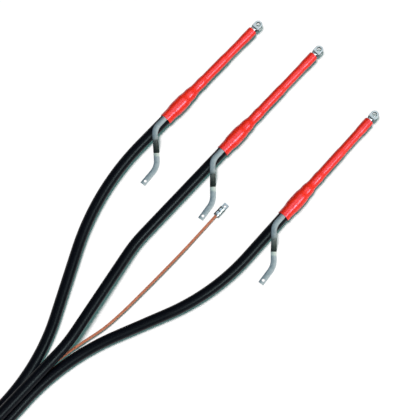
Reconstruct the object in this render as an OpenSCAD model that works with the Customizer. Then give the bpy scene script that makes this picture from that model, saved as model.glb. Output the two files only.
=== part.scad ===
// Heat-shrink termination of a three-core medium-voltage cable, lying on a flat surface.
// Three sheathed cores leave a trefoil bundle, fan out and run parallel to +X to their lugs.
// Each core ends in a red anti-tracking tube, with a metal earth strap coming out below it.
// A bare stranded earth wire leaves the middle of the bundle and ends in a two-screw lug.

/* [Cable core] */
// Diameter of the stranded aluminium conductor
conductor_d = 12.8; // [11:0.1:14]
// Thickness of the polymer insulation
insulation_t = 4.9; // [4:0.1:5.5]
// Thickness of the conductive screen on the insulation
screen_t = 0.6; // [0.5:0.1:0.9]
// Thickness of the aluminium foil with the swelling tape under it
foil_t = 0.6; // [0.5:0.1:0.9]
// Thickness of the black sheath
sheath_t = 3.25; // [2.75:0.05:4]

/* [Left phase] */
// Sideways distance from the bundle's axis to the left termination
left_offset = 255.8; // [235:0.1:275]
// Angle at which the left core leaves the bundle
left_angle = 26.5; // [24:0.5:29]
// Angle by which the left core is turned back to the middle
left_toe_in = 0.35; // [0:0.05:1]
// Radius of the left core's first bend
left_fan_radius = 620; // [560:10:680]
// Radius of the left core's bend back
left_return_radius = 780; // [700:10:860]
// Straight length of the left core in the bundle
left_lead = 58; // [30:1:90]
// Distance from the cut end of the cable to the left tube
left_tube_from = 969.5; // [950:0.5:1050]
// Length of the left tube
left_tube_len = 379; // [350:1:450]
// Angle of the left strap's bend off the core
left_strap_turn = 46; // [38:1:48]
// Length of the left strap from that bend to its drop
left_strap_top = 9; // [7:1:20]
// Length of the left strap on the floor before its second bend
left_strap_foot = 20; // [16:1:32]
// Angle of the left strap's bend back towards the cable
left_strap_return = 42; // [30:1:44]

/* [Middle phase] */
// Sideways distance from the bundle's axis to the middle termination
middle_offset = 62; // [52:1:80]
// Angle at which the middle core leaves the bundle
middle_angle = 11; // [10:1:15]
// Radius of the middle core's first bend
middle_fan_radius = 400; // [350:10:500]
// Radius of the middle core's bend back
middle_return_radius = 400; // [350:10:500]
// Straight length of the middle core in the bundle
middle_lead = 265; // [240:1:300]
// Distance from the cut end of the cable to the middle tube
middle_tube_from = 1010; // [980:1:1080]
// Length of the middle tube
middle_tube_len = 401; // [350:1:450]
// Angle of the middle strap's bend off the core
middle_strap_turn = 43; // [38:1:48]
// Length of the middle strap from that bend to its drop
middle_strap_top = 16; // [7:1:20]
// Length of the middle strap on the floor before its second bend
middle_strap_foot = 26; // [16:1:32]
// Angle of the middle strap's bend back towards the cable
middle_strap_return = 36; // [30:1:44]

/* [Right phase] */
// Sideways distance from the bundle's axis to the right termination
right_offset = -211.4; // [-230:0.1:-195]
// Angle at which the right core leaves the bundle
right_angle = 25; // [23:0.5:27]
// Angle by which the right core is turned back to the middle
right_toe_in = 0.9; // [0:0.05:1.1]
// Radius of the right core's first bend
right_fan_radius = 700; // [600:10:760]
// Radius of the right core's bend back
right_return_radius = 640; // [560:10:700]
// Straight length of the right core in the bundle
right_lead = 110; // [80:1:140]
// Distance from the cut end of the cable to the right tube
right_tube_from = 978; // [960:0.5:1060]
// Length of the right tube
right_tube_len = 385; // [350:1:450]
// Angle of the right strap's bend off the core
right_strap_turn = 41; // [38:1:48]
// Length of the right strap from that bend to its drop
right_strap_top = 14; // [7:1:20]
// Length of the right strap on the floor before its second bend
right_strap_foot = 23; // [16:1:32]
// Angle of the right strap's bend back towards the cable
right_strap_return = 36; // [30:1:44]

/* [Red tube] */
// Wall of the red tube as shrunk
tube_wall = 1.8; // [1.4:0.1:2.4]
// Length of the cuff that seals on the sheath
cuff_len = 26; // [20:1:40]
// Length of the slope from the cuff to the bulge over the spring
cuff_slope = 18; // [10:1:24]
// Length of the slope from the bulge to the sheath above the spring
spring_slope = 16; // [10:1:22]
// Length of the tube on the sheath above the spring
step_len = 14; // [10:1:30]
// Length of the slope from the sheath down to the screen
neck_slope = 20; // [12:1:26]
// Length of the neck on the screened insulation
neck_len = 16; // [10:1:24]
// Length of the slopes on both sides of the stress mastic's bump
bump_slope = 5; // [3:1:8]
// Length of the slope where the stress tube ends
grade_slope = 9; // [5:1:14]
// Length of the slope up to the lug's barrel
lug_slope = 10; // [6:1:16]

/* [Stress control] */
// Wall of the stress control tube
stress_t = 0.9; // [0.6:0.1:1.2]
// Length of the stress control tube above the bump
grade_len = 88; // [70:1:100]
// Length of the mastic at the end of the screen
mastic_len = 14; // [10:1:20]
// Height of the mastic above the screen
mastic_t = 0.6; // [0.4:0.1:1.2]

/* [Screen contact] */
// Width of the roll spring
spring_w = 34; // [24:1:40]
// Thickness of the spring's turns together
spring_t = 1.9; // [1.2:0.1:2.6]
// Thickness of the contact plate
plate_t = 0.6; // [0.4:0.1:0.8]
// Width of the contact plate
plate_w = 16; // [12:1:18]
// Length of the contact plate under the sheath
plate_len = 28; // [20:1:40]
// Length of foil left bare above the sheath
foil_bare = 8; // [5:1:10]

/* [Earth strap] */
// Width of the strap
strap_w = 17; // [14:0.5:20]
// Thickness of the strap
strap_t = 1.2; // [1:0.1:1.6]
// Length of the strap on the core before its first bend
strap_lead = 24; // [20:1:30]
// Radius of the strap's bend off the core
strap_turn_radius = 46; // [40:1:60]
// Twist of the strap where it passes the side of the core
strap_twist = 22; // [0:1:26]
// Radius of the fold into the drop
strap_crest = 12; // [8:1:16]
// Slope of the drop to the floor
strap_slope = 51; // [45:1:60]
// Radius of the fold at the foot of the drop
strap_fold = 4; // [3:0.5:8]
// Radius of the strap's bend back towards the cable
strap_return_radius = 55; // [45:1:65]
// Length from the second bend to the bolt hole
strap_tail = 33; // [28:1:46]
// Length from the bolt hole to the end of the strap
strap_end = 12; // [10:1:16]
// Diameter of the strap's bolt hole
strap_hole_d = 8.4; // [6.4:0.1:9]

/* [Lug] */
// Outer diameter of the lug's barrel
barrel_d = 20; // [18.5:0.1:21.5]
// Length of the barrel under the red tube
barrel_cover = 38; // [30:1:44]
// Depth of the conductor in the barrel
barrel_bore = 36; // [28:1:36]
// Thickness of the sealant on the barrel
sealant_t = 2.3; // [1.6:0.1:3]
// Length of the round barrel that shows above the tube
barrel_show = 4; // [2:0.5:8]
// Length of the change from the round barrel to the flat palm
palm_flare = 8; // [6:0.5:12]
// Width of the palm
palm_w = 24.5; // [22:0.5:28]
// Thickness of the palm
palm_t = 8; // [6:0.5:9]
// Radius of the palm's edges
palm_edge = 1.2; // [0.6:0.1:2]
// Distance from the flare to the bolt hole
palm_reach = 13; // [10:0.5:18]
// Diameter of the lug's bolt hole
lug_hole_d = 13; // [10.5:0.5:14]

/* [Earth wire] */
// Diameter of the stranded earth wire
wire_d = 7.5; // [6:0.1:8]
// Length of the earth lug's body
earth_body_len = 30; // [28:1:36]
// Width of the earth lug
earth_w = 15.5; // [14:0.5:18]
// Height of the earth lug's body
earth_h = 16; // [15:0.5:18]
// Depth of the wire in the earth lug
earth_bore = 27; // [24:1:27]
// Height of the wire's axis in the earth lug
earth_axis = 6.5; // [6:0.1:7]
// Thickness of the earth lug's palm
earth_palm_t = 4.5; // [3:0.5:6]
// Length of the earth lug's palm
earth_palm_len = 17.5; // [16:0.5:24]
// Distance from the end of the palm to its bolt hole
earth_hole_back = 8.5; // [7:0.5:9]
// Diameter of the earth lug's bolt hole
earth_hole_d = 8.4; // [6.4:0.1:9]
// Diameter of the two clamping screws
screw_d = 8; // [6:0.5:8]
// Distance between the clamping screws
screw_pitch = 13; // [11:0.5:14]
// Width of the screws' hexagon sockets
socket_w = 4; // [3:0.5:4]

/* [Hidden] */
$fn = 72;
// Gap between pieces that seat on each other
fit = 0.05;
r_conductor = conductor_d / 2;
r_insulation = r_conductor + insulation_t;
r_screen = r_insulation + screen_t;
r_foil = r_screen + foil_t;
r_sheath = r_foil + sheath_t;

// Bore of the red tube over each piece that it covers
r_cuff = r_sheath + strap_t + 2 * fit;
r_spring = r_cuff + spring_t;
r_bulge = r_spring + fit;
r_step = r_sheath + plate_t + 2 * fit;
r_neck = r_screen + stress_t + 2 * fit;
r_bump = r_neck + mastic_t;
r_grade = r_insulation + stress_t + 2 * fit;
r_plain = r_insulation + fit;
r_sealant = barrel_d / 2 + sealant_t;
r_mouth = r_sealant + fit;

// Stations along a termination, counted from the lower end of its red tube
s_spring = cuff_len + cuff_slope;
s_spring_end = s_spring + spring_w;
s_step = s_spring_end + spring_slope;
s_step_end = s_step + step_len;
s_neck = s_step_end + neck_slope;
s_bump = s_neck + neck_len + bump_slope;
s_bump_end = s_bump + mastic_len;
s_grade = s_bump_end + bump_slope;
s_grade_end = s_grade + grade_len;
s_plain = s_grade_end + grade_slope;
// Room for the contact plate's fold at the end of the sheath
fold_room = 1;
s_sheath = s_step_end - fold_room;
s_foil = s_sheath + foil_bare;
s_screen = s_bump + mastic_len / 2;
// The strap reaches this far past the spring, where the contact plate meets it
strap_past = 4;
s_strap = s_spring_end + strap_past;

// Trefoil bundle: two cores on the floor and one on top, with the earth wire between the three
wire_gap = 0.2;
wire_r = wire_d / 2;
wire_reach = r_sheath + wire_r + wire_gap;
core_pitch = 2 * r_sheath + 4 * fit;
wire_z = r_sheath + (core_pitch ^ 2 - 2 * wire_reach ^ 2) / (2 * wire_reach);
pair_y = sqrt(wire_reach ^ 2 - (wire_z - r_sheath) ^ 2);
top_z = wire_z + wire_reach;
// Height at which a termination rests on the bulge over its spring
rest_z = r_bulge + tube_wall;

// One row for each phase: place in the bundle, offset, angle, bends, lead, tube
PHASES = [0, 1, 2];
start_y = [pair_y, 0, -pair_y];
start_z = [r_sheath, top_z, r_sheath];
offset = [left_offset, middle_offset, right_offset];
splay = [-left_toe_in, 0, right_toe_in];
angle = [left_angle, middle_angle, right_angle];
fan_radius = [left_fan_radius, middle_fan_radius, right_fan_radius];
return_radius = [left_return_radius, middle_return_radius, right_return_radius];
lead = [left_lead, middle_lead, right_lead];
tube_from = [left_tube_from, middle_tube_from, right_tube_from];
tube_len = [left_tube_len, middle_tube_len, right_tube_len];
strap_turn = [left_strap_turn, middle_strap_turn, right_strap_turn];
strap_top = [left_strap_top, middle_strap_top, right_strap_top];
strap_foot = [left_strap_foot, middle_strap_foot, right_strap_foot];
strap_return = [left_strap_return, middle_strap_return, right_strap_return];

// Frames along a path of moves, each [kind, size, turn or parts, twist, cup]: "go" runs straight,
// "turn" bends in the strap's plane to the left, and "dip" bends downwards.
// A frame is a position with three axes. Twist and cup are reached at the end of the move.
function moved(f, d) = [f[0] + f[1] * d[0] + f[2] * d[1] + f[3] * d[2], f[1], f[2], f[3]];
function turned(f, a) = [f[0], f[1] * cos(a) + f[2] * sin(a), f[2] * cos(a) - f[1] * sin(a), f[3]];
function dipped(f, a) = [f[0], f[1] * cos(a) - f[3] * sin(a), f[2], f[3] * cos(a) + f[1] * sin(a)];
function rolled(f, a) = [f[0], f[1], f[2] * cos(a) - f[3] * sin(a), f[3] * cos(a) + f[2] * sin(a)];
function stepped(f, m, share) =
    m[0] == "go" ? moved(f, [m[1] * share, 0, 0]) :
    m[0] == "turn" ? moved(turned(moved(f, [0, m[1], 0]), m[2] * share), [0, -m[1], 0]) :
    moved(dipped(moved(f, [0, 0, -m[1]]), m[2] * share), [0, 0, m[1]]);
function parts_of(m) = m[0] == "go" ? m[2] : ceil(abs(m[2]) / facet_turn);
function frames_of(f, m) = let (n = parts_of(m)) [for (k = [1 : n]) stepped(f, m, k / n)];
function path(f, moves, k = 0) = k == len(moves) ? [] :
    let (leg = frames_of(f, moves[k])) concat(leg, path(leg[len(leg) - 1], moves, k + 1));
function values(moves, column, from, k = 0) = k == len(moves) ? [] :
    let (n = parts_of(moves[k]), to = moves[k][column])
        concat([for (j = [1 : n]) from + (to - from) * j / n], values(moves, column, to, k + 1));

// Section of the strap across its width, cupped by the part 1 to 0 of the core's own curve
function strap_row(f, cup, lift) = [
    for (k = [0 : strap_cells])
        let (
            w = strap_w * (k / strap_cells - 0.5),
            bow = max(cup, 0.001) / (r_sheath + strap_t / 2),
            turn = w * bow * 180 / PI,
            reach = 1 / bow + lift
        )
            moved(f, [0, reach * sin(turn), reach * cos(turn) - 1 / bow])[0]
];
function strap_ring(f, cup) = let (
    top = strap_row(f, cup, strap_t / 2),
    low = strap_row(f, cup, -strap_t / 2)
) concat(top, [for (k = [strap_cells : -1 : 0]) low[k]]);

// A strap's own path, in the frame of its termination, and its rings of points
facet_turn = 6;
strap_cells = 10;
// Rise of the strap for each degree of twist, which keeps it clear of the sheath
twist_lift = 0.02;
strap_top_z = r_sheath + fit + strap_t / 2;
strap_floor_z = fit + strap_t / 2 - rest_z;
strap_folds = (strap_crest + strap_fold) * (1 - cos(strap_slope));
strap_drop = (strap_top_z - strap_floor_z - strap_folds) / sin(strap_slope);
// Cup of the strap where it begins to bend, and where it leaves the core
lead_cup = 0.75;
side_cup = 0.3;
strap_first = [[s_strap, 0, strap_top_z], [-1, 0, 0], [0, -1, 0], [0, 0, 1]];
function strap_moves(i) = [
    ["go", s_strap, 1, 0, 1],
    ["go", strap_lead, 4, 0, lead_cup],
    ["turn", strap_turn_radius, strap_turn[i], strap_twist, side_cup],
    ["go", strap_top[i], 2, strap_twist, 0],
    ["dip", strap_crest, strap_slope, strap_twist, 0],
    ["go", strap_drop, 4, 0, 0],
    ["dip", -strap_fold, -strap_slope, 0, 0],
    ["go", strap_foot[i], 1, 0, 0],
    ["turn", -strap_return_radius, -strap_return[i], 0, 0],
    ["go", strap_tail, 1, 0, 0],
    ["go", strap_end, 1, 0, 0]
];
function strap_frames(i) = path(strap_first, strap_moves(i));
function strap_hole(i) = let (f = strap_frames(i)) f[len(f) - 2][0];
function strap_rings(i) = let (
    f = strap_frames(i),
    twist = values(strap_moves(i), 3, 0),
    cup = values(strap_moves(i), 4, 1),
    raised = [for (k = [0 : len(f) - 1]) moved(f[k], [0, 0, twist_lift * twist[k]])]
) concat(
    [strap_ring(strap_first, 1)],
    [for (k = [0 : len(f) - 1]) strap_ring(rolled(raised[k], twist[k]), cup[k])]
);

// Place of a point of core i when the core is turned by its splay about the end of its lead
function splayed(i, x, y) = let (dx = x - lead[i], dy = y - start_y[i], a = splay[i])
    [lead[i] + dx * cos(a) - dy * sin(a), start_y[i] + dx * sin(a) + dy * cos(a)];

// The frame's origin lies below the middle of the whole object
hole_reach = barrel_show + palm_flare + palm_reach;
lug_x = [for (i = PHASES) splayed(i, tube_from[i] + tube_len[i] + hole_reach, offset[i])[0]];
far_x = max(lug_x) + palm_w / 2;
near_x = min([for (i = PHASES, s = [-1, 1]) splayed(i, 0, start_y[i] + s * r_sheath)[0]]);
left_y = splayed(0, tube_from[0] + s_spring, offset[0])[1] + rest_z;
right_y = min([for (r = strap_rings(2)) for (q = r) splayed(2, tube_from[2] + q[0], offset[2] + q[1])[1]]);
cut_x = -(far_x + near_x) / 2;
bundle_y = -(left_y + right_y) / 2;

// A core's route lies in one plane through the bundle, tilted to reach the resting height
shift_y = [for (i = PHASES) offset[i] - start_y[i]];
shift_z = [for (i = PHASES) rest_z - start_z[i]];
tilt = [for (i = PHASES) atan(shift_z[i] / shift_y[i])];
swing = [for (i = PHASES) norm([shift_y[i], shift_z[i]])];
bends = [for (i = PHASES) fan_radius[i] + return_radius[i]];
run = [for (i = PHASES) (swing[i] - bends[i] * (1 - cos(angle[i]))) / sin(angle[i])];
bends_x = [for (i = PHASES) bends[i] * sin(angle[i]) + run[i] * cos(angle[i])];
tail = [for (i = PHASES) tube_from[i] - lead[i] - bends_x[i]];

// Place of the earth lug, at the mouth of its wire hole
earth_x = cut_x + 857;
earth_y = bundle_y - 51;
// Route of the earth wire: out of the bundle, down to a low span above the floor and into its lug
span_z = 12;
wire_route = [
    [cut_x, bundle_y, wire_z],
    [cut_x + 90, bundle_y, wire_z],
    [cut_x + 165, bundle_y, wire_z],
    [cut_x + 224, bundle_y - 4.7, 19.5],
    [cut_x + 284, bundle_y - 13.1, 15.5],
    [cut_x + 339, bundle_y - 24.6, 13],
    [cut_x + 404, bundle_y - 39.4, span_z],
    [cut_x + 474, bundle_y - 46.6, span_z],
    [cut_x + 554, bundle_y - 49.8, span_z],
    [cut_x + 634, bundle_y - 51.9, 11.5],
    [cut_x + 714, bundle_y - 52.8, 10],
    [cut_x + 779, bundle_y - 52.1, 8],
    [cut_x + 824, bundle_y - 51.3, 6.9],
    [earth_x, earth_y, earth_axis],
    [earth_x + earth_bore, earth_y, earth_axis]
];
wire_sides = 10;
wire_steps = 4;

SLEEVES = [
    "conductor", "insulation", "screen", "foil", "sheath", "lug", "lug_sealant", "stress_mastic",
    "stress_tube", "contact_plate", "roll_spring", "cuff_seal", "earth_strap", "red_tube"
];

// Turns a shape that stands on +Z so that it points along +X
module along_x() {
    rotate([0, 90, 0])
        children();
}

// A ring swept along an arc that starts at the origin, heads along +X and turns to +Y.
// It laps into the straights at both ends and is a hair thinner, so that it lies in their wall.
bend_lap = 2;
bend_step = 0.1;
module ring_bend(radius, turn, r_out, r_in) {
    lap = bend_lap / radius * 180 / PI;
    translate([0, radius, 0])
        rotate([0, 0, -90 - lap])
            rotate_extrude(angle = turn + 2 * lap)
                translate([radius, 0])
                    ring(r_out - bend_step, r_in > 0 ? r_in + bend_step : 0);
}

// Section of a layer of the core
module ring(r_out, r_in) {
    difference() {
        circle(r_out);
        if (r_in > 0)
            circle(r_in);
    }
}

// Straight layer of the core along +X
module ring_run(len, r_out, r_in) {
    along_x()
        linear_extrude(len)
            ring(r_out, r_in);
}

// Frame of core i: origin at the end of its lead, turned by its splay
module at_lead(i, z) {
    translate([cut_x + lead[i], bundle_y + start_y[i], z])
        rotate([0, 0, splay[i]])
            children();
}

// One layer of core i, from the cable's cut end to a station of its termination
module core_layer(i, r_out, r_in, station) {
    side = offset[i] > start_y[i] ? 0 : 1;
    at_lead(i, start_z[i])
        rotate([tilt[i], 0, 0])
            mirror([0, side, 0]) {
                translate([-lead[i], 0, 0])
                    ring_run(lead[i], r_out, r_in);
                ring_bend(fan_radius[i], angle[i], r_out, r_in);
                translate(fan_radius[i] * [sin(angle[i]), 1 - cos(angle[i]), 0])
                    rotate([0, 0, angle[i]]) {
                        ring_run(run[i], r_out, r_in);
                        translate([run[i], 0, 0])
                            mirror([0, 1, 0])
                                ring_bend(return_radius[i], angle[i], r_out, r_in);
                    }
                translate([bends_x[i], swing[i], 0])
                    ring_run(tail[i] + station, r_out, r_in);
            }
}

// Frame of termination i: origin on its axis at the lower end of the red tube, +X to the lug
module termination(i) {
    at_lead(i, rest_z)
        translate([tube_from[i] - lead[i], offset[i] - start_y[i], 0])
            children();
}

// Outline points from knot to knot, eased where the radius changes
function ease(t) = t * t * (3 - 2 * t);
slope_steps = 6;
function eased(knots) = [
    for (k = [0 : len(knots) - 2])
        let (a = knots[k], b = knots[k + 1], n = a[1] == b[1] ? 1 : slope_steps)
            for (j = [0 : n - 1])
                [a[0] + (b[0] - a[0]) * j / n, a[1] + (b[1] - a[1]) * ease(j / n)],
    knots[len(knots) - 1]
];

// A sleeve turned about the core's axis: its bore runs through knots of station and radius
module sleeve(knots, wall) {
    bore = eased(knots);
    count = len(bore) - 1;
    outside = [for (p = bore) [p[1] + wall, p[0]]];
    inside = [for (k = [count : -1 : 0]) [bore[k][1], bore[k][0]]];
    along_x()
        rotate_extrude()
            polygon(concat(outside, inside));
}

// An outline of radius and station, turned about the core's axis by an arc centred on its top
module top_arc(outline, half) {
    along_x()
        rotate([0, 0, 180 - half])
            rotate_extrude(angle = 2 * half)
                polygon(outline);
}

// Half of the arc that a flat width covers on the sheath
function half_arc(width) = width / (2 * r_sheath) * 180 / PI;

// Stranded aluminium conductor, seated in the lug's barrel
module conductor(i) {
    color("silver")
        core_layer(i, r_conductor, 0, tube_len[i] - barrel_cover + barrel_bore - fit);
}

// White polymer insulation, cut back to the lug
module insulation(i) {
    gap = 2;
    color("ivory")
        core_layer(i, r_insulation, r_conductor + fit, tube_len[i] - barrel_cover - gap);
}

// Black conductive screen on the insulation, cut off under the stress mastic
module screen(i) {
    color("dimgray")
        core_layer(i, r_screen, r_insulation + fit, s_screen);
}

// Aluminium foil screen under the sheath
module foil(i) {
    color("lightgray")
        core_layer(i, r_foil, r_screen + fit, s_foil);
}

// Black sheath, with a pocket for the contact plate under its upper end
module sheath(i) {
    pocket_from = s_sheath - plate_len - fit;
    pocket_r = r_foil + plate_t + 2 * fit;
    color("#15181c")
        difference() {
            core_layer(i, r_sheath, r_foil + fit, s_sheath);
            termination(i)
                top_arc([
                    [r_foil, pocket_from],
                    [pocket_r, pocket_from],
                    [pocket_r, s_sheath + fit],
                    [r_foil, s_sheath + fit]
                ], half_arc(plate_w + 4 * fit));
        }
}

// Section of the lug's palm: a thick flat with eased edges
module palm_section() {
    round_rect(palm_w, palm_t, palm_edge);
}

// Half of that section, turned about the bolt hole for the palm's round end
module palm_half_section() {
    intersection() {
        palm_section();
        translate([0, -palm_t])
            square([palm_w, 2 * palm_t]);
    }
}

// A stretch of the palm along +X
module palm_run(len) {
    rotate([90, 0, 90])
        linear_extrude(len)
            palm_section();
}

// Tubular lug: round barrel, flattened palm with a round end, and a bolt hole
module lug(i) {
    slice = 0.2;
    flare_sides = 32;
    barrel_end = barrel_cover + barrel_show;
    palm_from = barrel_end + palm_flare;
    hole_at = palm_from + palm_reach;
    color("lightsteelblue")
        termination(i)
            translate([tube_len[i] - barrel_cover, 0, 0])
                difference() {
                    union() {
                        along_x()
                            cylinder(h = barrel_end, d = barrel_d);
                        hull() {
                            translate([barrel_end - slice, 0, 0])
                                along_x()
                                    cylinder(h = slice, d = barrel_d, $fn = flare_sides);
                            translate([palm_from, 0, 0])
                                palm_run(slice, $fn = flare_sides);
                        }
                        translate([palm_from, 0, 0])
                            palm_run(palm_reach);
                        translate([hole_at, 0, 0])
                            rotate_extrude()
                                palm_half_section();
                    }
                    translate([-fit, 0, 0])
                        along_x()
                            cylinder(h = barrel_bore + fit, r = r_conductor + fit);
                    translate([hole_at, 0, -palm_t])
                        cylinder(h = 2 * palm_t, d = lug_hole_d);
                }
}

// Sealant wrapped round the lug's barrel, under the end of the red tube
module lug_sealant(i) {
    edge = 1;
    r_in = barrel_d / 2 + fit;
    color("#3a2f2c")
        termination(i)
            translate([tube_len[i] - barrel_cover, 0, 0])
                ring_run(barrel_cover - edge, r_sealant, r_in);
}

// Mastic moulded over the end of the conductive screen
module stress_mastic(i) {
    color("goldenrod")
        termination(i)
            difference() {
                translate([s_bump, 0, 0])
                    ring_run(mastic_len, r_screen + mastic_t, r_insulation + fit);
                translate([s_bump - fit, 0, 0])
                    ring_run(s_screen - s_bump + 2 * fit, r_screen + fit, 0);
            }
}

// Black stress control tube from the screen, over the mastic, to the bare insulation
module stress_tube(i) {
    r_on_screen = r_screen + fit;
    r_on_mastic = r_screen + mastic_t + fit;
    r_on_insulation = r_insulation + fit;
    color("#262626")
        termination(i)
            sleeve([
                [s_neck, r_on_screen],
                [s_bump - bump_slope, r_on_screen],
                [s_bump, r_on_mastic],
                [s_bump_end, r_on_mastic],
                [s_grade, r_on_insulation],
                [s_grade_end, r_on_insulation]
            ], stress_t);
}

// Contact plate folded over the end of the sheath, with its inner leg on the foil
module contact_plate(i) {
    under = r_foil + fit;
    over = r_sheath + fit;
    bend_at = s_sheath + fit;
    color("gainsboro")
        termination(i)
            top_arc([
                [under, s_sheath - plate_len],
                [under + plate_t, s_sheath - plate_len],
                [under + plate_t, bend_at],
                [over, bend_at],
                [over, s_strap + fit],
                [over + plate_t, s_strap + fit],
                [over + plate_t, bend_at + plate_t],
                [under, bend_at + plate_t]
            ], half_arc(plate_w));
}

// Roll spring that clamps the strap on the sheath
module roll_spring(i) {
    color("slategray")
        termination(i)
            translate([s_spring, 0, 0])
                ring_run(spring_w, r_spring, r_cuff);
}

// Sealing mastic in the cuff, on both sides of the strap
module cuff_seal(i) {
    edge = 2;
    color("firebrick")
        termination(i)
            difference() {
                translate([edge, 0, 0])
                    ring_run(cuff_len - edge, r_cuff - fit, r_sheath + fit);
                top_arc([
                    [r_sheath, 0],
                    [r_cuff + fit, 0],
                    [r_cuff + fit, cuff_len + fit],
                    [r_sheath, cuff_len + fit]
                ], half_arc(strap_w + 4 * fit));
            }
}

// Solid through rings of points, closed by its first and last ring
module skin(rings) {
    n = len(rings[0]);
    last = len(rings) - 1;
    sides = [
        for (k = [0 : last - 1], j = [0 : n - 1])
            let (a = k * n + j, b = k * n + (j + 1) % n)
                each [[a, a + n, b], [b, a + n, b + n]]
    ];
    caps = [[for (j = [0 : n - 1]) j], [for (j = [n - 1 : -1 : 0]) last * n + j]];
    polyhedron([for (r = rings) each r], concat(sides, caps));
}

// Earth strap: from under the spring, off the core, down to the floor and back along the cable
module earth_strap(i) {
    color("lightslategray")
        termination(i)
            difference() {
                skin(strap_rings(i));
                translate(strap_hole(i) - [0, 0, strap_t])
                    cylinder(h = 2 * strap_t, d = strap_hole_d);
            }
}

// Red anti-tracking tube, shrunk over everything from the sheath to the lug's barrel
module red_tube(i) {
    top = tube_len[i];
    lug_from = top - barrel_cover;
    color("#e63c2d")
        termination(i)
            sleeve([
                [0, r_cuff],
                [cuff_len, r_cuff],
                [s_spring, r_bulge],
                [s_spring_end, r_bulge],
                [s_step, r_step],
                [s_step_end, r_step],
                [s_neck, r_neck],
                [s_bump - bump_slope, r_neck],
                [s_bump, r_bump],
                [s_bump_end, r_bump],
                [s_grade, r_grade],
                [s_grade_end, r_grade],
                [s_plain, r_plain],
                [lug_from - lug_slope, r_plain],
                [lug_from, r_mouth],
                [top, r_mouth]
            ], tube_wall);
}

// Smooth curve through the wire's route, and a round section carried along it
function curve_at(p, k, t) = let (
    a = p[max(k - 1, 0)],
    b = p[k],
    c = p[k + 1],
    d = p[min(k + 2, len(p) - 1)]
) b + ((c - a) * t + (2 * a - 5 * b + 4 * c - d) * t ^ 2 + (3 * b - a - 3 * c + d) * t ^ 3) / 2;
wire_spans = len(wire_route) - 1;
wire_line = [
    for (k = [0 : wire_spans - 1], j = [0 : wire_steps - 1]) curve_at(wire_route, k, j / wire_steps),
    wire_route[wire_spans]
];
function unit(v) = v / norm(v);
function wire_ring(k) = let (
    last = len(wire_line) - 1,
    ahead = unit(wire_line[min(k + 1, last)] - wire_line[max(k - 1, 0)]),
    side = unit(cross([0, 0, 1], ahead)),
    up = cross(ahead, side)
) [
    for (j = [0 : wire_sides - 1])
        let (a = -360 * j / wire_sides)
            wire_line[k] + wire_r * (side * cos(a) + up * sin(a))
];

// Bare stranded copper earth wire
module earth_wire() {
    color("#c96e4b")
        skin([for (k = [0 : len(wire_line) - 1]) wire_ring(k)]);
}

// Rectangle with round corners
module round_rect(w, h, r) {
    square([w - 2 * r, h], center = true);
    square([w, h - 2 * r], center = true);
    for (x = [-1, 1], y = [-1, 1])
        translate([x * (w / 2 - r), y * (h / 2 - r)])
            circle(r);
}

// Places the two clamping screws on the earth lug
module at_screws() {
    for (s = [-1, 1])
        translate([earth_body_len / 2 + s * screw_pitch / 2, 0, 0])
            children();
}

// Earth lug: square body with a wire hole and two screw holes, and a flat palm on the floor
module earth_lug() {
    body_round = 4.5;
    corner = 2;
    overlap = 4;
    bore_gap = 0.3;
    end = earth_body_len + earth_palm_len;
    palm = earth_palm_len + overlap;
    color("lightsteelblue")
        translate([earth_x, earth_y, 0])
            difference() {
                union() {
                    translate([0, 0, earth_h / 2])
                        rotate([90, 0, 90])
                            linear_extrude(earth_body_len)
                                round_rect(earth_w, earth_h, body_round);
                    translate([end - palm / 2, 0, 0])
                        linear_extrude(earth_palm_t)
                            round_rect(palm, earth_w, corner);
                }
                translate([-fit, 0, earth_axis])
                    along_x()
                        cylinder(h = earth_bore + 2 * fit, r = wire_r + bore_gap);
                at_screws()
                    translate([0, 0, earth_axis])
                        cylinder(h = earth_h, d = screw_d + 2 * fit);
                translate([end - earth_hole_back, 0, -earth_palm_t])
                    cylinder(h = 3 * earth_palm_t, d = earth_hole_d);
            }
}

// Two socket screws that press the wire into the earth lug
module earth_lug_screws() {
    proud = 1.2;
    socket_depth = 3;
    foot = earth_axis + wire_r + fit;
    color("gainsboro")
        translate([earth_x, earth_y, 0])
            at_screws()
                difference() {
                    translate([0, 0, foot])
                        cylinder(h = earth_h + proud - foot, d = screw_d);
                    translate([0, 0, earth_h + proud - socket_depth])
                        cylinder(h = 2 * socket_depth, d = socket_w / cos(30), $fn = 6);
                }
}

for (i = PHASES) {
    conductor(i);
    insulation(i);
    screen(i);
    foil(i);
    sheath(i);
    lug(i);
    lug_sealant(i);
    stress_mastic(i);
    stress_tube(i);
    contact_plate(i);
    roll_spring(i);
    cuff_seal(i);
    earth_strap(i);
    red_tube(i);
}
earth_wire();
earth_lug();
earth_lug_screws();
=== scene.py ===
"""Looks of a heat-shrink termination of a three-core cable that lies on a pale studio floor."""

import bmesh
import bpy
import numpy as np
from mathutils import Matrix


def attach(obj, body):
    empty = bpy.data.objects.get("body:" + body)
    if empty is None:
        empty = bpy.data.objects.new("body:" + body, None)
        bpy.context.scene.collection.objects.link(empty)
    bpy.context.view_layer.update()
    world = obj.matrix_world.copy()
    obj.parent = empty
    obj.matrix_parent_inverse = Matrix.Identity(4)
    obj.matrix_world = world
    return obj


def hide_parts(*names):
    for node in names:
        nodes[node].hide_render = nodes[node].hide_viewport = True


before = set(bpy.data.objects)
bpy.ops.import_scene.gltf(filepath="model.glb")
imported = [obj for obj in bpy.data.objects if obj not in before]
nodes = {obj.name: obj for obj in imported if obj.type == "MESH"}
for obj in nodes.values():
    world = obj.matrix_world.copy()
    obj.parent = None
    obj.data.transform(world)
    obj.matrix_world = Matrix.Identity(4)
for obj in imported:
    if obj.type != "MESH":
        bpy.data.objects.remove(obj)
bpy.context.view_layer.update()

# Sheathed cores
# Each core is an aluminium conductor in extruded layers under a black polyethylene sheath.
# It leaves the trefoil bundle, fans out in one plane and lies level where its tube begins.
PHASES = (0, 1, 2)
cut_x = -0.724008
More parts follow.
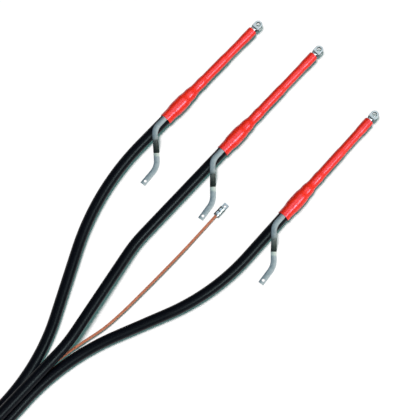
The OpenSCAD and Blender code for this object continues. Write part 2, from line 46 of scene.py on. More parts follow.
bundle_y = 0.007771
rest_z = 0.0208
sheath_r = 0.01575
sheath_bore_r = 0.01255
sheath_in_tube = 0.107
core_gap = 0.0002
core_pitch = 2 * sheath_r + core_gap
wire_d = 0.0075
wire_reach = sheath_r + wire_d / 2 + core_gap
wire_z = sheath_r + (core_pitch**2 - 2 * wire_reach**2) / (2 * wire_reach)
pair_y = np.sqrt(wire_reach**2 - (wire_z - sheath_r) ** 2)
start_y = (pair_y, 0.0, -pair_y)
start_z = (sheath_r, wire_z + wire_reach, sheath_r)
side_y = (0.2558, 0.062, -0.2114)
splay = np.radians((-0.35, 0.0, 0.9))
fan_angle = np.radians((26.5, 11.0, 25.0))
fan_radius = (0.62, 0.40, 0.70)
return_radius = (0.78, 0.40, 0.64)
lead_len = (0.058, 0.265, 0.110)
tube_from = (0.9695, 1.010, 0.978)
core_step = 0.005
core_sides = 64
tiny = 1e-6


def set_down(i, local):
    """Points given from the end of a core's lead: turned about the vertical by its splay, then moved."""
    c, s = np.cos(splay[i]), np.sin(splay[i])
    turn = np.array([[c, s, 0.0], [-s, c, 0.0], [0.0, 0.0, 1.0]])
    return local @ turn + [cut_x + lead_len[i], bundle_y + start_y[i], 0.0]


def core_route(i, reach, pitch):
    """Centreline of a core with its two normals and distances.

    The heading is 0 on the lead, grows evenly to the fan angle on the first bend, stays on the
    slant and falls evenly to 0 on the bend back. Its cosine and sine add up to the line.
    """
    rise = np.array([0.0, side_y[i] - start_y[i], rest_z - start_z[i]])
    swing = np.linalg.norm(rise)
    a = fan_angle[i]
    bends = fan_radius[i] + return_radius[i]
    slant = (swing - bends * (1 - np.cos(a))) / np.sin(a)
    tail = tube_from[i] - lead_len[i] - bends * np.sin(a) - slant * np.cos(a)
    ends = np.cumsum([0, lead_len[i], fan_radius[i] * a, slant, return_radius[i] * a, tail + reach])
    s = np.linspace(0, ends[-1], int(ends[-1] / pitch) + 1)
    middle = (s[1:] + s[:-1]) / 2
    turn = np.interp(middle, ends, [0, 0, a, a, 0, 0])
    step = s[1] - s[0]
    along = np.concatenate([[0], np.cumsum(np.cos(turn) * step)])
    aside = np.concatenate([[0], np.cumsum(np.sin(turn) * step)])
    out = rise / swing
    ahead = np.array([1.0, 0.0, 0.0])
    heading = np.interp(s, ends, [0, 0, a, a, 0, 0])[:, None]
    start = np.array([-lead_len[i], 0.0, start_z[i]])
    line = start + along[:, None] * ahead + aside[:, None] * out
    normal = np.cos(heading) * out - np.sin(heading) * ahead
    binormal = np.broadcast_to(np.cross(ahead, out), line.shape)
    return s, line, normal, binormal


def circle(count):
    """Angles of this many equal steps round a circle."""
    return np.arange(count) * 2 * np.pi / count


def sweep(line, normal, binormal, across, up):
    """Section carried along a line: point = line + across * normal + up * binormal."""
    return line[:, None] + across[..., None] * normal[:, None] + up[..., None] * binormal[:, None]


def surface(name, patches, sharp=40.0):
    """One object of several grids of points, each given with its closed directions and its skin.

    Four neighbours of a grid make a face. A closed direction joins its last line to its first.
    The skin holds three numbers for each point, which the finish reads. Points that meet are
    merged, which closes poles and seams, and faces are turned outwards.
    """
    points, faces, skins, first = [], [], [], 0
    for grid, rows_close, columns_close, skin in patches:
        rows, columns = grid.shape[:2]
        r, c = np.meshgrid(
            np.arange(rows - (not rows_close)), np.arange(columns - (not columns_close)), indexing="ij"
        )
        ring = ((r, c), (r + 1, c), (r + 1, c + 1), (r, c + 1))
        index = [first + (a % rows) * columns + b % columns for a, b in ring]
        faces.append(np.stack(index, -1).reshape(-1, 4))
        points.append(grid.reshape(-1, 3))
        numbers = np.stack(np.broadcast_arrays(*skin), -1)
        skins.append(np.broadcast_to(numbers, grid.shape).reshape(-1, 3))
        first += rows * columns
    mesh = bpy.data.meshes.new(name)
    mesh.from_pydata(np.concatenate(points).tolist(), [], np.concatenate(faces).tolist())
    skin = mesh.attributes.new("skin", "FLOAT_VECTOR", "POINT")
    skin.data.foreach_set("vector", np.concatenate(skins).astype(np.float32).ravel())
    shape = bmesh.new()
    shape.from_mesh(mesh)
    bmesh.ops.remove_doubles(shape, verts=shape.verts, dist=tiny)
    bmesh.ops.recalc_face_normals(shape, faces=shape.faces)
    shape.to_mesh(mesh)
    shape.free()
    mesh.polygons.foreach_set("use_smooth", np.ones(len(mesh.polygons), bool))
    mesh.set_sharp_from_angle(angle=np.radians(sharp))
    piece = bpy.data.objects.new(name, mesh)
    bpy.context.scene.collection.objects.link(piece)
    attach(piece, "root")
    return piece


def node(tree, kind, inputs=None, **settings):
    """New shader node with these settings; an input is a value or the socket that feeds it."""
    made = tree.nodes.new(kind)
    for key, value in settings.items():
        setattr(made, key, value)
    for key, value in (inputs or {}).items():
        if isinstance(value, bpy.types.NodeSocket):
            tree.links.new(value, made.inputs[key])
        else:
            made.inputs[key].default_value = value
    return made


def shader(name, **sockets):
    """New material with these constants on its Principled shader."""
    material = bpy.data.materials.new(name)
    material.use_nodes = True
    bsdf = material.node_tree.nodes["Principled BSDF"]
    for key, value in sockets.items():
        bsdf.inputs[key.replace("_", " ")].default_value = value
    return material, material.node_tree, bsdf


def coordinates(tree, scale=(1.0, 1.0, 1.0), skin=False):
    """Object coordinates, or the skin of a surface, stretched by scale."""
    if skin:
        source = node(tree, "ShaderNodeAttribute", attribute_name="skin").outputs["Vector"]
    else:
        source = node(tree, "ShaderNodeTexCoord").outputs["Object"]
    return node(tree, "ShaderNodeMapping", {"Vector": source, "Scale": scale}).outputs["Vector"]


def noise(tree, vector, scale, detail=4.0, roughness=0.55):
    """Fractal noise from 0 to 1."""
    inputs = {"Vector": vector, "Scale": scale, "Detail": detail, "Roughness": roughness}
    return node(tree, "ShaderNodeTexNoise", inputs).outputs["Fac"]


def tint(tree, fac, stops):
    """Colours along a factor, each stop a position and a linear colour."""
    ramp = node(tree, "ShaderNodeValToRGB", {"Fac": fac})
    while len(ramp.color_ramp.elements) < len(stops):
        ramp.color_ramp.elements.new(0.5)
    for element, (place, color) in zip(ramp.color_ramp.elements, stops):
        element.position = place
        element.color = (*color, 1.0)
    return ramp.outputs["Color"]


def ranged(tree, value, low, high, to_low=0.0, to_high=1.0):
    """A value carried evenly from one range to another."""
    inputs = {"Value": value, "From Min": low, "From Max": high, "To Min": to_low, "To Max": to_high}
    return node(tree, "ShaderNodeMapRange", inputs).outputs["Result"]


def spread(tree, fac, low, high):
    """A factor of 0.3 to 0.7, where most of a noise lies, spread over a range."""
    return ranged(tree, fac, 0.3, 0.7, low, high)


def paint(tree, bsdf, color, roughness):
    """Feeds the shader its colour and its roughness."""
    tree.links.new(color, bsdf.inputs["Base Color"])
    tree.links.new(roughness, bsdf.inputs["Roughness"])


def grain(tree, bsdf, height, strength, distance):
    """Bump of the surface from a height."""
    inputs = {"Height": height, "Strength": strength, "Distance": distance}
    tree.links.new(node(tree, "ShaderNodeBump", inputs).outputs["Normal"], bsdf.inputs["Normal"])


sheath_black, tree, bsdf = shader("sheath_black", Specular_IOR_Level=0.10)
streaks = noise(tree, coordinates(tree, (2.5, 2.5, 14.0), True), 1.0)
fine = noise(tree, coordinates(tree), 900.0, 3.0)
streak_tints = ((0.3, (0.0010, 0.0016, 0.0034)), (0.7, (0.0022, 0.0030, 0.0052)))
paint(tree, bsdf, tint(tree, streaks, streak_tints), spread(tree, streaks, 0.33, 0.40))
grain(tree, bsdf, fine, 0.2, 0.0002)

theta = circle(core_sides)
for i in PHASES:
    s, line, normal, binormal = core_route(i, sheath_in_tube, core_step)
    radius = np.concatenate([np.full(len(s), sheath_r), np.full(len(s), sheath_bore_r)])
    both = np.concatenate([np.arange(len(s)), np.arange(len(s))[::-1]])
    across = radius[:, None] * np.cos(theta)
    up = radius[:, None] * np.sin(theta)
    wall = set_down(i, sweep(line[both], normal[both], binormal[both], across, up))
    line = set_down(i, line)
    skin = (np.cos(theta), np.sin(theta), s[both, None])
    sheath = surface(f"core_sheath_{i + 1}", [(wall, True, True, skin)])
    sheath.data.materials.append(sheath_black)
    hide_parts(f"sheath_{i + 1}")


def phase_nodes(*names):
    """Names of the CAD nodes of these pieces on the three phases."""
    return [f"{name}_{i + 1}" for name in names for i in PHASES]


def dress(names, material):
    """Puts a finish on the CAD nodes of these names."""
    for name in names:
        for place in nodes[name].material_slots:
            place.material = material


def layer_finish(name, dark, light, scale, low, high, **sockets):
    """Plain extruded or moulded finish: clouds between two tints, and a roughness that follows them."""
    material, tree, bsdf = shader(name, **sockets)
    place = coordinates(tree)
    clouds = noise(tree, place, scale)
    color = tint(tree, clouds, ((0.3, dark), (0.7, light)))
    paint(tree, bsdf, color, spread(tree, clouds, low, high))
    grain(tree, bsdf, noise(tree, place, 12 * scale), 0.2, 0.0003)
    return material


strand, tree, bsdf = shader("conductor_strand", Metallic=1.0)
lengthways = coordinates(tree, (0.02, 1.0, 1.0))
wires = node(tree, "ShaderNodeTexVoronoi", {"Vector": lengthways, "Scale": 430.0}).outputs["Distance"]
wire_tints = ((0.0, (0.78, 0.79, 0.80)), (0.55, (0.60, 0.61, 0.62)), (0.9, (0.16, 0.16, 0.17)))
paint(tree, bsdf, tint(tree, wires, wire_tints), spread(tree, wires, 0.32, 0.5))
grain(tree, bsdf, wires, 0.5, -0.0006)
dress(phase_nodes("conductor"), strand)

milky = layer_finish("milky_insulation", (0.62, 0.60, 0.55), (0.74, 0.73, 0.69), 90.0, 0.35, 0.5)
dress(phase_nodes("insulation"), milky)

conductive_black = layer_finish(
    "conductive_black", (0.008, 0.008, 0.009), (0.016, 0.016, 0.017), 120.0, 0.5, 0.7
)
dress(phase_nodes("screen", "stress_tube"), conductive_black)

foil = layer_finish("foil", (0.55, 0.57, 0.60), (0.78, 0.79, 0.81), 160.0, 0.25, 0.4, Metallic=1.0)
dress(phase_nodes("foil"), foil)

# Mastics and the roll spring
# Sticky tapes are moulded on the screen's end, the lug's barrel and in the cuff before shrinking,
# and a coiled steel ribbon clamps the strap. The red tube hides them but for rings at its mouths.
mastic = layer_finish("mastic", (0.020, 0.011, 0.010), (0.050, 0.024, 0.020), 140.0, 0.45, 0.65)
dress(phase_nodes("lug_sealant", "stress_mastic", "cuff_seal"), mastic)

spring_ribbon = layer_finish(
    "spring_ribbon", (0.36, 0.38, 0.41), (0.58, 0.60, 0.63), 70.0, 0.22, 0.4, Metallic=1.0
)
dress(phase_nodes("roll_spring"), spring_ribbon)

# Lugs
# A tubular lug is tinned aluminium, pressed flat at one end, sheared to shape and punched for an
# M12 bolt. Its barrel is crimped on the conductor, and a short round stub shows above the red tube.
tube_len = (0.379, 0.401, 0.385)
barrel_r = 0.010
barrel_cover = 0.038
barrel_show = 0.004
flare_len = 0.008
flat_share = 0.2
palm_half = 0.01225
palm_half_t = 0.004
palm_edge = 0.0012
palm_reach = 0.013
palm_chamfer = 0.0007
lug_hole_r = 0.0065
stub_rings = 24
stub_sides = 72
palm_sides = 160
palm_rim_steps = 7
no_skin = (0.0, 0.0, 0.0)


def on_tube(i, local):
    """Points given from the axis of a termination at the lower end of its red tube, put in place."""
    return set_down(i, local + [tube_from[i] - lead_len[i], side_y[i] - start_y[i], rest_z])


def eased(t):
    """Smooth step from 0 to 1 with level ends."""
    t = np.clip(t, 0, 1)
    return t * t * (3 - 2 * t)


def lug_tube(rings, sides):
    """Tube that flattens: a rectangle with round corners, from the barrel's sizes to the palm's.

    A corner is an arc about a point that lies off the axis by the rest of the half width and half
    height. The point changes sides evenly where the angle's cosine or sine is under the flat share.
    """
    x = np.concatenate([
        np.full(1, -barrel_cover),
        np.linspace(-barrel_cover, barrel_show, rings),
        barrel_show + flare_len * np.linspace(0, 1, rings)[1:],
        np.full(1, barrel_show + flare_len),
    ])
    t = eased((x - barrel_show) / flare_len)[:, None]
    width = barrel_r + (palm_half - barrel_r) * t
    height = barrel_r + (palm_half_t - barrel_r) * t
    corner = barrel_r + (palm_edge - barrel_r) * t
    a = circle(sides)
    y = (width - corner) * np.clip(np.cos(a) / flat_share, -1, 1) + corner * np.cos(a)
    z = (height - corner) * np.clip(np.sin(a) / flat_share, -1, 1) + corner * np.sin(a)
    y[[0, -1]] = 0
    z[[0, -1]] = 0
    return np.stack([np.broadcast_to(x[:, None], y.shape), y, z], -1)


def to_side(distance, across):
    """Reach from a hole to a straight side: its distance over the cosine or sine of the angle."""
    return distance / np.maximum(np.abs(across), tiny)


def holed_plate(outline, edge, hole_r, half_t, chamfer, steps):
    """Flat plate round a hole: for each angle, a closed loop from the hole's wall over the top to the rim.

    The rim turns down by a quarter circle of the edge radius, runs upright and turns under by another.
    The hole's corners are bevelled, and each face has two lines between its bevel and the rim.
    """
    a = circle(len(outline))
    ones = np.ones_like(outline)
    mouth = (hole_r + chamfer) * ones
    inner = outline - edge
    wall = half_t - chamfer
    shares = np.array([[0.33], [0.66]])
    face = mouth + shares * (inner - mouth)
    level_face = half_t * np.ones_like(face)
    q = np.linspace(np.pi / 2, -np.pi / 2, 2 * steps + 1)[:, None]
    rim = inner + edge * np.cos(q)
    rim_z = np.sign(np.sin(q)) * (half_t - edge) + edge * np.sin(q)
    out = np.concatenate([[hole_r * ones, hole_r * ones, mouth], face, rim, face[::-1], [mouth]])
    high = np.concatenate([
        [-wall * ones, wall * ones, half_t * ones], level_face, rim_z, -level_face, [-half_t * ones]
    ])
    return np.stack([out * np.cos(a), out * np.sin(a), high], -1)


def reckon(tree, operation, *values):
    """Result of one arithmetic step on these values."""
    return node(tree, "ShaderNodeMath", dict(enumerate(values)), operation=operation).outputs["Value"]


def mix(tree, kind, factor, first, second):
    """Two colours mixed; the node has its colours on inputs 6 and 7 and on output 2."""
    inputs = {"Factor": factor, 6: first, 7: second}
    return node(tree, "ShaderNodeMix", inputs, data_type="RGBA", blend_type=kind).outputs[2]


def level(tree):
    """How level the surface lies: 1 where it faces up or down and 0 where it is upright."""
    normal = node(tree, "ShaderNodeNewGeometry").outputs["Normal"]
    return reckon(tree, "ABSOLUTE", node(tree, "ShaderNodeSeparateXYZ", {"Vector": normal}).outputs["Z"])


def tin_with_painted_shade(name, dark, middle, light):
    """Mottled tin plate in three tints, with painted shade that makes its upright sides nearly black."""
    material, tree, bsdf = shader(name, Metallic=1.0)
    place = coordinates(tree)
    mottle = noise(tree, place, 210.0, 5.0, 0.65)
    tin = tint(tree, mottle, ((0.3, dark), (0.5, middle), (0.7, light)))
    # Painted shade: faces that stand upright are multiplied nearly to black, as if they stood in shadow.
    painted_side_shade_tints = ((0.3, (0.05, 0.055, 0.05)), (0.74, (0.10, 0.11, 0.11)), (0.90, (1.0, 1.0, 1.0)))
    color = mix(tree, "MULTIPLY", 1.0, tin, tint(tree, level(tree), painted_side_shade_tints))
    paint(tree, bsdf, color, spread(tree, mottle, 0.34, 0.46))
    grain(tree, bsdf, noise(tree, place, 1500.0, 3.0), 0.1, 0.0003)
    return material


a = circle(palm_sides)
palm_back = np.minimum(to_side(palm_half, np.sin(a)), to_side(palm_reach, np.cos(a)))
palm_outline = np.where(np.cos(a) > 0, palm_half, palm_back)
rim_edge = np.full(palm_sides, palm_edge)
palm = holed_plate(palm_outline, rim_edge, lug_hole_r, palm_half_t, palm_chamfer, palm_rim_steps)
palm = palm + [barrel_show + flare_len + palm_reach, 0, 0]
stub = lug_tube(stub_rings, stub_sides)
tinned = tin_with_painted_shade("lug_tin", (0.52, 0.62, 0.66), (0.72, 0.81, 0.84), (0.90, 0.96, 0.98))
for i in PHASES:
    base = np.array([tube_len[i], 0, 0])
    lug = surface(f"tubular_lug_{i + 1}", [
        (on_tube(i, stub + base), False, True, no_skin),
        (on_tube(i, palm + base), True, True, no_skin),
    ])
    lug.data.materials.append(tinned)
    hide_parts(f"lug_{i + 1}")

# Screen contacts and earth straps
# A folded plate grips the foil, and a flat tinned strap runs from it, under the spring and cuff,
# off the core and down to the floor, where its punched end lies ready for an M8 bolt.
strap_w = 0.017
strap_t = 0.0012
strap_edge = 0.0005
strap_gap = 0.00005
strap_start = 0.082
strap_lead = 0.024
strap_top_z = sheath_r + strap_gap + strap_t / 2
strap_floor_z = strap_gap + strap_t / 2 - rest_z
crest_r = 0.012
fold_r = 0.004
slope = np.radians(51.0)
drop = (strap_top_z - strap_floor_z - (crest_r + fold_r) * (1 - np.cos(slope))) / np.sin(slope)
strap_turn_r = 0.046
strap_turn = np.radians((46.0, 43.0, 41.0))
strap_top = (0.009, 0.016, 0.014)
strap_foot = (0.020, 0.026, 0.023)
strap_return_r = 0.055
strap_return = np.radians((42.0, 36.0, 36.0))
lead_cup = 0.75
side_cup = 0.3
least_cup = 0.001
twist_side = np.radians(22.0)
lift_per_degree = 0.00002
strap_cells = 12
edge_steps = 3
strap_end = 0.033
hole_lead = 0.014
hole_tail = 0.012
strap_hole_r = 0.0042
tab_chamfer = 0.00015
tab_sides = 128
strap_moves = 10
tab_move = 0.02


def strap_path(i):
    """Points and axes along a strap, with its twist, its cup and its place as a count of moves.

    It runs straight, bends in its own plane about a centre to the left, or dips about a centre below.
    A move gives its length or radius, its angle, its steps, and the twist and cup that it ends with.
    Twist and cup pass evenly to those values.
    """
    moves = (
        ("go", strap_start, 0.0, 8, 0.0, 1.0),
        ("go", strap_lead, 0.0, 16, 0.0, lead_cup),
        ("turn", strap_turn_r, strap_turn[i], 20, twist_side, side_cup),
        ("go", strap_top[i], 0.0, 8, twist_side, 0.0),
        ("dip", crest_r, slope, 14, twist_side, 0.0),
        ("go", drop, 0.0, 12, 0.0, 0.0),
        ("dip", -fold_r, -slope, 14, 0.0, 0.0),
        ("go", strap_foot[i], 0.0, 10, 0.0, 0.0),
        ("turn", -strap_return_r, -strap_return[i], 18, 0.0, 0.0),
        ("go", strap_end - hole_lead, 0.0, 8, 0.0, 0.0),
    )
    point = np.array([strap_start, 0.0, strap_top_z])
    ahead, left, up = np.array([-1.0, 0, 0]), np.array([0, -1.0, 0]), np.array([0, 0, 1.0])
    line, frames, counts = [point[None]], [np.stack([ahead, left, up])[None]], [np.zeros(1)]
    for number, (kind, size, turn, steps, _, _) in enumerate(moves):
        t = np.linspace(0, 1, steps + 1)[1:, None]
        c, s = np.cos(turn * t), np.sin(turn * t)
        if kind == "go":
            axes = [ahead + 0 * t, left + 0 * t, up + 0 * t]
            run = point + ahead * size * t
        elif kind == "turn":
            axes = [ahead * c + left * s, left * c - ahead * s, up + 0 * t]
            run = point + left * size - axes[1] * size
        else:
            axes = [ahead * c - up * s, left + 0 * t, up * c + ahead * s]
            run = point - up * size + axes[2] * size
        point, ahead, left, up = run[-1], axes[0][-1], axes[1][-1], axes[2][-1]
        line.append(run)
        frames.append(np.stack(axes, 1))
        counts.append(number + t[:, 0])
    count = np.concatenate(counts)
    ends = np.arange(len(moves) + 1)
    twist = np.interp(count, ends, [0.0] + [move[4] for move in moves])
    cup = np.interp(count, ends, [1.0] + [move[5] for move in moves])
    return np.concatenate(line), np.concatenate(frames), twist[:, None], cup[:, None], count


def strap_section(cells, steps):
    """Outline of the strap: flat top and bottom, and edges rounded by the edge radius."""
    w = strap_w / 2 - strap_edge
    h = strap_t / 2 - strap_edge
    run = np.linspace(-w, w, cells + 1)
    turn = np.linspace(0, np.pi / 2, steps + 1)
    right = np.stack([w + strap_edge * np.cos(turn), h + strap_edge * np.sin(turn)], -1)
    top = np.stack([run, np.full(cells + 1, strap_t / 2)], -1)[::-1]
    half = np.concatenate([right, top[1:-1], (right * [-1, 1])[::-1]])
    return np.concatenate([half, (half * [1, -1])[::-1]])


def strip_of(i):
    """Strap as a section carried along its path: cupped to an arc, then lifted and turned by the twist."""
    line, axes, twist, cup, count = strap_path(i)
    line = line + axes[:, 2] * np.degrees(twist) * lift_per_degree
    section = strap_section(strap_cells, edge_steps)
    curve = np.maximum(cup, least_cup) / (sheath_r + strap_t / 2)
    bow = section[:, 0] * curve
    reach = 1 / curve + section[:, 1]
    side = axes[:, 1] * np.cos(twist) - axes[:, 2] * np.sin(twist)
    up = axes[:, 2] * np.cos(twist) + axes[:, 1] * np.sin(twist)
    strip = sweep(line, side, up, reach * np.sin(bow), reach * np.cos(bow) - 1 / curve)
    ends = line[[0, -1]][:, None] + np.zeros_like(strip[:1])
    strip = np.concatenate([ends[:1], strip, ends[1:]])
    count = np.concatenate([count[:1], count, count[-1:]])[:, None]
    return strip, (section[:, 0] / strap_w, 0.0, count), line[-1], axes[-1]


a = circle(tab_sides)
side_reach = to_side(strap_w / 2, np.sin(a))
end_reach = to_side(np.where(np.cos(a) > 0, hole_tail, hole_lead), np.cos(a))
tab_outline = np.minimum(side_reach, end_reach)
tab_edge = np.where((np.cos(a) < 0) & (end_reach < side_reach), tiny, strap_edge)
tab = holed_plate(tab_outline, tab_edge, strap_hole_r, strap_t / 2, tab_chamfer, edge_steps)
tab_skin = (tab[..., 1] / strap_w, 0.0, strap_moves + tab[..., 0] / tab_move)

strap_tin, tree, bsdf = shader("strap_tin", Metallic=1.0)
place = node(tree, "ShaderNodeSeparateXYZ", {"Vector": coordinates(tree, skin=True)}).outputs
ribs = noise(tree, coordinates(tree, (24.0, 0.0, 0.5), True), 1.0, 3.0)
patches = noise(tree, coordinates(tree), 120.0, 4.0)
# Ribs and patches of the tin, plus painted light across the strap: lighter towards one long edge, darker
# towards the other.
tone_and_painted_side_light = reckon(tree, "MULTIPLY_ADD", place["X"], 0.75, ribs)
tone_and_painted_side_light = reckon(tree, "MULTIPLY_ADD", patches, 0.5, tone_and_painted_side_light)
tin_tints = ((0.4, (0.17, 0.23, 0.27)), (0.75, (0.42, 0.52, 0.55)), (1.0, (0.62, 0.70, 0.71)))
tin = tint(tree, tone_and_painted_side_light, tin_tints)
# Painted shade: the strap's upright edges and the tab's cut end are multiplied nearly to black.
painted_edge_shade = tint(tree, level(tree), ((0.15, (0.04, 0.045, 0.04)), (0.4, (1.0, 1.0, 1.0))))
# Painted shade and highlight by place along the strap: darker over the crest and down the slope, and
# brighter than the tin over the fold at its foot.
painted_slope_tints = (
    (0.36, (1.0, 1.0, 1.0)), (0.45, (0.72, 0.72, 0.68)), (0.51, (0.34, 0.35, 0.32)),
    (0.56, (0.16, 0.18, 0.16)), (0.64, (0.10, 0.115, 0.10)), (0.67, (1.7, 1.62, 1.36)),
    (0.73, (1.5, 1.46, 1.28)), (0.755, (1.0, 1.0, 1.0)),
)
painted_slope_light = tint(tree, ranged(tree, place["Z"], 0.0, strap_moves), painted_slope_tints)
color = mix(tree, "MULTIPLY", 1.0, mix(tree, "MULTIPLY", 1.0, tin, painted_edge_shade), painted_slope_light)
paint(tree, bsdf, color, spread(tree, ribs, 0.36, 0.5))
grain(tree, bsdf, ribs, 0.25, 0.0004)

for i in PHASES:
    strip, skin, tip, axes = strip_of(i)
    flat = tip + axes[0] * hole_lead + tab @ axes
    strap = surface(f"flat_strap_{i + 1}", [
        (on_tube(i, strip), False, True, skin),
        (on_tube(i, flat), True, True, tab_skin),
    ])
    strap.data.materials.append(strap_tin)
    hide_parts(f"earth_strap_{i + 1}")
dress(phase_nodes("contact_plate"), strap_tin)

# Red tubes
# Each anti-tracking tube is extruded red polyolefin, shrunk with a flame over all the pieces below,
# so its outside repeats the spring, the sheath's end, the stress mastic and the lug's barrel.
tube_wall = 0.0018
tube_knots = np.array([
    (0.000, 0.01705), (0.026, 0.01705), (0.044, 0.01900), (0.078, 0.01900), (0.094, 0.01645),
    (0.108, 0.01645), (0.128, 0.01290), (0.144, 0.01290), (0.149, 0.01350), (0.163, 0.01350),
    (0.168, 0.01230), (0.256, 0.01230), (0.265, 0.01135),
])
barrel_bore_r = 0.01235
barrel_slope = 0.010
lip = 0.0009
lip_steps = 6
cuff_len = 0.022
cuff_fade = 0.016
ridge_half = 0.45
ridge_fade = 0.35
ridge_height = 0.0005
wave_len = 0.041
wave_height = 0.00006
wave_lean = 2.0
wave_shift = 1.7
ripple_height = 0.00005
ripple_count = 3
ripple_twist = 50.0
wave_room = 0.00012
bridge = 0.005
bridge_samples = 7
tube_rows = 420
bore_rows = 80
tube_sides = 96


def tube_bore(s, length):
    """Bore of the shrunk tube at a distance: eased from knot to knot, up to the lug's barrel."""
    barrel = length - barrel_cover
    knots = np.concatenate([tube_knots, [
        (barrel - barrel_slope, tube_knots[-1, 1]), (barrel, barrel_bore_r), (length, barrel_bore_r)
    ]])
    k = np.clip(np.searchsorted(knots[:, 0], s, side="right") - 1, 0, len(knots) - 2)
    t = (s - knots[k, 0]) / (knots[k + 1, 0] - knots[k, 0])
    return knots[k, 1] + (knots[k + 1, 1] - knots[k, 1]) * eased(t)


def red_sleeve(length, shift):
    """Closed wall of the tube: the outside with its lips and shrink waves, and back along the bore.

    The outside is the bore's mean over a few millimetres plus the wall, as the tube bridges small steps.
    It dips beside the strap's ridge in the cuff. Low waves run along it and ripples round it, both sines
    of the distance and the angle, shifted from tube to tube. The lips are quarter circles at both ends.
    """
    rounding = lip * (1 - np.cos(np.linspace(0, np.pi / 2, lip_steps)))
    s = np.concatenate([
        rounding[:-1], np.linspace(lip, length - lip, tube_rows), length - rounding[-2::-1]
    ])[:, None]
    a = circle(tube_sides)[None]
    near = np.minimum(s, length - s)
    round_off = lip - np.sqrt(np.maximum(lip**2 - np.clip(lip - near, 0, lip) ** 2, 0))
    off_strap = eased((np.abs(a - np.pi / 2) - ridge_half) / ridge_fade)
    in_cuff = 1 - eased((s - cuff_len) / cuff_fade)
    waves = wave_height * np.sin(2 * np.pi * s / wave_len + wave_lean * np.sin(a + shift) + shift)
    waves = waves + ripple_height * np.sin(ripple_count * a + ripple_twist * s + 2 * shift)
    span = np.linspace(-bridge, bridge, bridge_samples)
    bridged = np.mean([tube_bore(np.clip(s + d, 0, length), length) for d in span], axis=0)
    outer = bridged + tube_wall - round_off - ridge_height * off_strap * in_cuff + waves - wave_room
    back = np.linspace(length, 0, bore_rows)[:, None]
    inner = np.broadcast_to(tube_bore(back, length), (bore_rows, tube_sides))
    radius = np.concatenate([outer, inner])
    x = np.concatenate([s, back])
    return np.stack([np.broadcast_to(x, radius.shape), radius * np.cos(a), radius * np.sin(a)], -1)


tube_red, tree, bsdf = shader("tube_red", Specular_IOR_Level=0.56, Specular_Tint=(1.0, 0.68, 1.0, 1.0))
place = coordinates(tree)
clouds = noise(tree, place, 55.0, 4.0)
fine = noise(tree, place, 1100.0, 4.0, 0.65)
red_tints = ((0.3, (0.76, 0.018, 0.001)), (0.5, (0.80, 0.022, 0.002)), (0.7, (0.84, 0.027, 0.003)))
paint(tree, bsdf, tint(tree, clouds, red_tints), spread(tree, fine, 0.31, 0.35))
grain(tree, bsdf, fine, 0.06, 0.0002)

for i in PHASES:
    sleeve = on_tube(i, red_sleeve(tube_len[i], wave_shift * i))
    tube = surface(f"shrunk_tube_{i + 1}", [(sleeve, True, True, no_skin)])
    tube.data.materials.append(tube_red)
    tube.visible_diffuse = False
    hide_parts(f"red_tube_{i + 1}")

# Earth wire
# Bare copper strand of nineteen drawn wires, twelve of them twisted round the rest. It leaves the
# middle of the bundle, comes down between the cores and spans low above the floor to its lug.
earth_lug_at = np.array([cut_x + 0.857, bundle_y - 0.051, 0.0065])
wire_in_lug = 0.027
span_z = 0.012
wire_route = np.array([
    (0.000, 0.0000, wire_z), (0.090, 0.0000, wire_z), (0.165, 0.0000, wire_z), (0.224, -0.0047, 0.0195),
    (0.284, -0.0131, 0.0155), (0.339, -0.0246, 0.013), (0.404, -0.0394, span_z), (0.474, -0.0466, span_z),
    (0.554, -0.0498, span_z), (0.634, -0.0519, 0.0115), (0.714, -0.0528, 0.010), (0.779, -0.0521, 0.008),
    (0.824, -0.0513, 0.0069),
]) + [cut_x, bundle_y, 0.0]
wire_route = np.concatenate([wire_route, [earth_lug_at, earth_lug_at + [wire_in_lug, 0, 0]]])
route_steps = 40
lay_len = 0.11
strand_sides = 96
strand_sharp = 60.0


def smooth_route(points, steps):
    """Curve through the points: a cubic on each span.

    Its slope at a point is half the distance between the point's neighbours.
    """
    padded = np.concatenate([points[:1], points, points[-1:]])
    p, q, r, s = padded[:-3, None], padded[1:-2, None], padded[2:-1, None], padded[3:, None]
    t = (np.arange(steps) / steps)[None, :, None]
    curve = q + ((r - p) * t + (2 * p - 5 * q + 4 * r - s) * t**2 + (3 * q - p - 3 * r + s) * t**3) / 2
    return np.concatenate([curve.reshape(-1, 3), points[-1:]])


def strand_radius(a, radius):
    """Outline of twelve wires round seven, as a distance from the strand's axis at each angle.

    A wire's radius is a fifth of the strand's, and its centre lies four fifths out.
    """
    wire = radius / 5
    off = (a + np.pi / 12) % (np.pi / 6) - np.pi / 12
    return 4 * wire * np.cos(off) + np.sqrt(np.maximum(wire**2 - (4 * wire * np.sin(off)) ** 2, 0))


wire_line = smooth_route(wire_route, route_steps)
gone = np.concatenate([[0], np.cumsum(np.linalg.norm(np.diff(wire_line, axis=0), axis=1))])
heading = np.gradient(wire_line, axis=0)
heading /= np.linalg.norm(heading, axis=1, keepdims=True)
wire_side = np.cross([0.0, 0.0, 1.0], heading)
wire_side /= np.linalg.norm(wire_side, axis=1, keepdims=True)
wire_up = np.cross(heading, wire_side)
a = circle(strand_sides)
radius = strand_radius(a, wire_d / 2)
twist = a + 2 * np.pi * gone[:, None] / lay_len
strand_wall = sweep(wire_line, wire_side, wire_up, radius * np.cos(twist), radius * np.sin(twist))
ends = wire_line[[0, -1]][:, None] + np.zeros_like(strand_wall[:1])
strand_wall = np.concatenate([ends[:1], strand_wall, ends[1:]])

